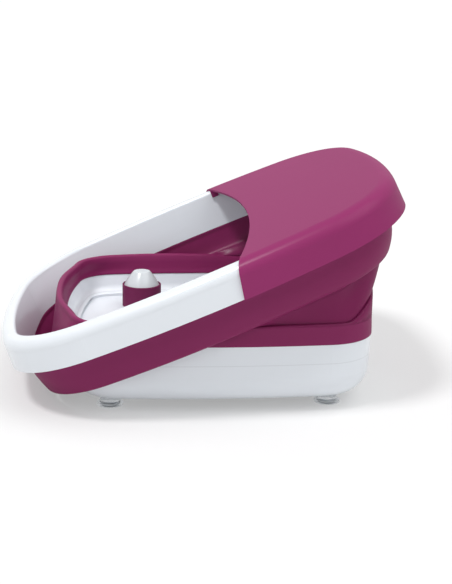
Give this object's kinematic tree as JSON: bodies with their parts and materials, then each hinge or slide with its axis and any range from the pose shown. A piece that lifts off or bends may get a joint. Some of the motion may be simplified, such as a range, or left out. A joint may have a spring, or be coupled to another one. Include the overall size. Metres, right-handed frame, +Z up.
{
  "type": "folding foot spa basin",
  "caption": "Folding foot spa with a hard base tub, soft folding wall, tilted carrying rim, splash guard over the toe half and domed massage knobs.",
  "frame": {"origin": "on the floor under the middle of the part's length and width, at the level of the feet", "axes": "+X towards the toe end, under the splash guard; +Y towards the far side, where the cord gland is; +Z up"},
  "size_m": [0.3996, 0.369, 0.2259],
  "materials": {
    "white_shell": "cool white, high gloss moulding",
    "white_cap": "white, gloss",
    "berry_shell": "berry, fine satin",
    "berry_soft": "berry soft plastic, satin",
    "black_seal": "matt",
    "grey_rubber": "light grey, matt",
    "clear_foot": "clear soft plastic, glossy",
    "screw_steel": "zinc plated",
    "motor_can": "plated sheet steel",
    "weight_brass": "turned",
    "heater_foil": "foil faced",
    "board_green": "printed circuit board",
    "dark_plastic": "moulded, dull"
  },
  "bodies": {
    "base": {"tub_shell": "white_shell", "base_shell": "white_shell", "seam_gasket": "black_seal", "base_screws": "screw_steel", "suction_feet": "clear_foot", "lower_cuff": "berry_soft", "heater_plates": "heater_foil", "thermal_cutout": "dark_plastic", "vibration_motor": "motor_can", "motor_bracket": "motor_can", "motor_screws": "screw_steel", "control_board": "board_green", "board_parts": "dark_plastic", "board_screws": "screw_steel", "push_switch": "dark_plastic", "button_bezel": "white_cap", "cord_gland": "grey_rubber", "cord_clamp": "white_cap", "clamp_screws": "screw_steel"},
    "web": {"folding_web": "berry_soft"},
    "rim": {"rim_shell": "white_shell", "upper_cuff": "berry_soft", "retaining_ring": "white_shell", "rim_screws": "screw_steel"},
    "guard": {"splash_guard": "berry_shell"},
    "near_knob": {"near_knob_body": "berry_shell", "near_knob_cap": "white_cap"},
    "far_knob": {"far_knob_body": "berry_shell", "far_knob_cap": "white_cap"},
    "rotor": {"motor_shaft": "screw_steel", "eccentric_weights": "weight_brass"},
    "button": {"function_button": "berry_shell"}
  },
  "joints": [
    {"name": "toe_end_fold", "type": "hinge", "parent": "base", "child": "web", "pos_m": [-0.12416, 0, 0.05695], "axis": [0, -1, 0], "range_deg": [-23, 0], "deforming": ["folding_web"]},
    {"name": "heel_end_fold", "type": "hinge", "parent": "web", "child": "rim", "pos_m": [0.19287, 0, 0.12145], "axis": [0, 1, 0], "range_deg": [0, 23]},
    {"name": "guard_lift", "type": "slide", "parent": "rim", "child": "guard", "axis": [-0.3907, 0, 0.9205], "range_m": [0, 0.08]},
    {"name": "near_knob_lift", "type": "slide", "parent": "base", "child": "near_knob", "axis": [0, 0, 1], "range_m": [0, 0.12]},
    {"name": "far_knob_lift", "type": "slide", "parent": "base", "child": "far_knob", "axis": [0, 0, 1], "range_m": [0, 0.12]},
    {"name": "motor_spin", "type": "hinge", "parent": "base", "child": "rotor", "pos_m": [0.01573, 0, 0.0275], "axis": [1, 0, 0], "continuous": true},
    {"name": "button_press", "type": "slide", "parent": "base", "child": "button", "axis": [-1, 0, 0], "range_m": [0, 0.0025], "stiffness_N_per_m": 500, "springref_m": -0.002}
  ]
}
